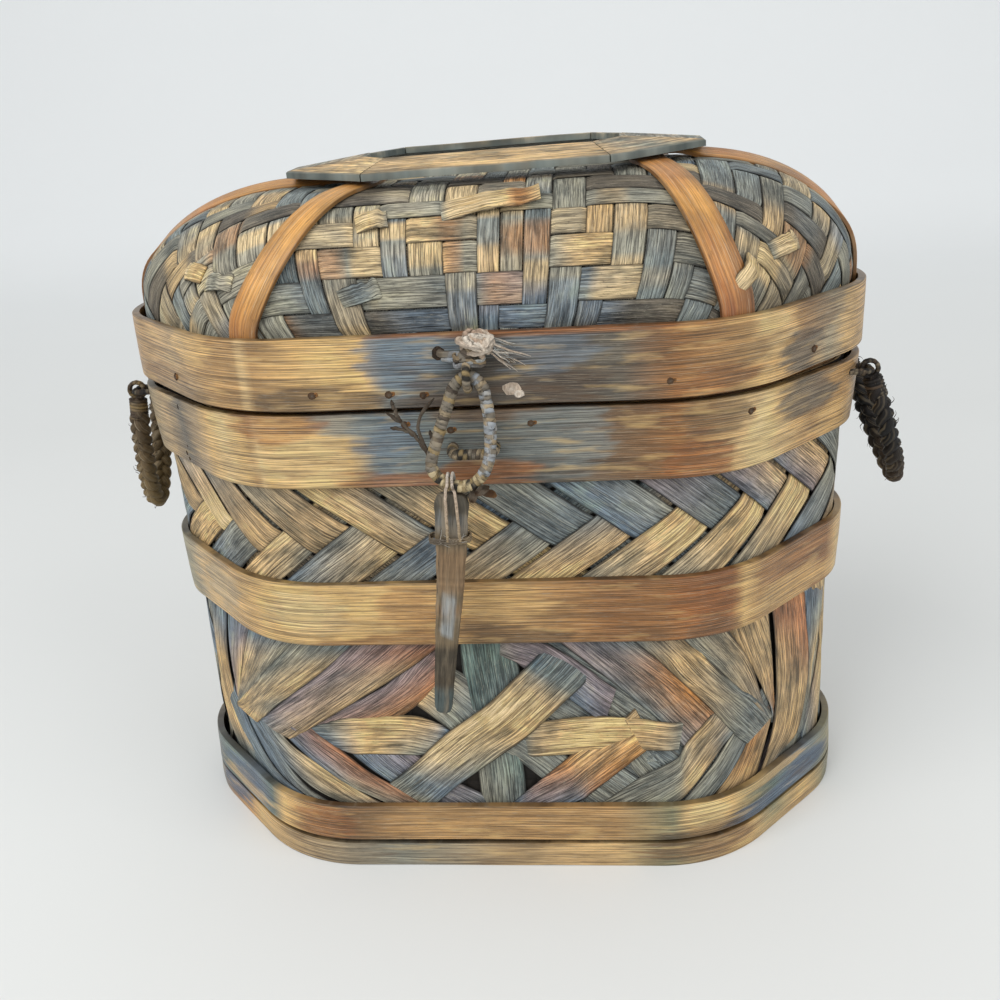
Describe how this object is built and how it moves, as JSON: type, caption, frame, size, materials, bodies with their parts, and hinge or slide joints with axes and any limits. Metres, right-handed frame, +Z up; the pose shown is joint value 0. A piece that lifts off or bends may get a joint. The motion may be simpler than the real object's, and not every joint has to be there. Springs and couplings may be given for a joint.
{
  "type": "woven bamboo box",
  "caption": "Eight-sided plaited bamboo basket with rounded ends, bamboo hoops, a domed hinged lid, a hanging peg latch and braided end handles.",
  "frame": {"origin": "middle of the footprint at floor level, under the foot ring", "axes": "+X along the long side towards the right-hand handle, +Y from the latch front towards the hinge, +Z up"},
  "size_m": [0.3016, 0.1738, 0.2564],
  "materials": {
    "foot_bamboo": "split bamboo, worn, dusty",
    "hoop_bamboo": "split bamboo, satin, stained",
    "rib_bamboo": "smooth lacquered splint",
    "frame_bamboo": "weathered lath",
    "wall_plait": "plaited bamboo strips, smoke-grey with straw and rust patches",
    "lid_plait": "fine plaited bamboo strips, dark with straw patches",
    "lining": "plain inner plait",
    "cane": "split cane",
    "peg_bamboo": "whittled, weathered",
    "knot_fibre": "hard fibre knot",
    "latch_cord": "strip-wrapped cord",
    "handle_fibre": "dark braided fibre"
  },
  "bodies": {
    "basket": {"foot_ring": "foot_bamboo", "foot_band": "foot_bamboo", "base_slat_front": "cane", "base_slat_back": "cane", "body_weave": "wall_plait", "body_lining": "lining", "waist_hoop": "hoop_bamboo", "body_rim_hoop": "hoop_bamboo", "body_collar": "hoop_bamboo", "hinge_ring_left": "cane", "hinge_ring_right": "cane", "latch_staple": "latch_cord", "left_handle_staple_front": "handle_fibre", "left_handle_staple_back": "handle_fibre", "right_handle_staple_front": "handle_fibre", "right_handle_staple_back": "handle_fibre"},
    "lid": {"lid_weave": "lid_plait", "lid_lining": "lining", "lid_rim_hoop": "hoop_bamboo", "lid_inner_hoop": "hoop_bamboo", "lid_rib_long": "rib_bamboo", "lid_rib_left": "rib_bamboo", "lid_rib_right": "rib_bamboo", "lid_top_frame": "frame_bamboo", "latch_knot": "knot_fibre"},
    "latch_loop": {"latch_loop": "latch_cord"},
    "latch_peg": {"latch_peg": "peg_bamboo", "latch_peg_tie": "latch_cord"},
    "left_handle": {"left_handle": "handle_fibre"},
    "right_handle": {"right_handle": "handle_fibre"}
  },
  "joints": [
    {"name": "lid_hinge", "type": "hinge", "parent": "basket", "child": "lid", "pos_m": [-0.00416, 0.07444, 0.1813], "axis": [-1, 0, 0], "range_deg": [0, 105]},
    {"name": "latch_loop_swing", "type": "hinge", "parent": "lid", "child": "latch_loop", "pos_m": [-0.00556, -0.07726, 0.1935], "axis": [-1, 0, 0], "range_deg": [0, 110]},
    {"name": "latch_peg_swing", "type": "hinge", "parent": "latch_loop", "child": "latch_peg", "pos_m": [-0.01249, -0.08276, 0.1605], "axis": [-1, 0, 0], "range_deg": [-10, 90]},
    {"name": "left_handle_swing", "type": "hinge", "parent": "basket", "child": "left_handle", "pos_m": [-0.14108, 0.00134, 0.1745], "axis": [0, 1, 0], "range_deg": [0, 140]},
    {"name": "right_handle_swing", "type": "hinge", "parent": "basket", "child": "right_handle", "pos_m": [0.12935, 0.00134, 0.1745], "axis": [0, -1, 0], "range_deg": [0, 140]}
  ]
}
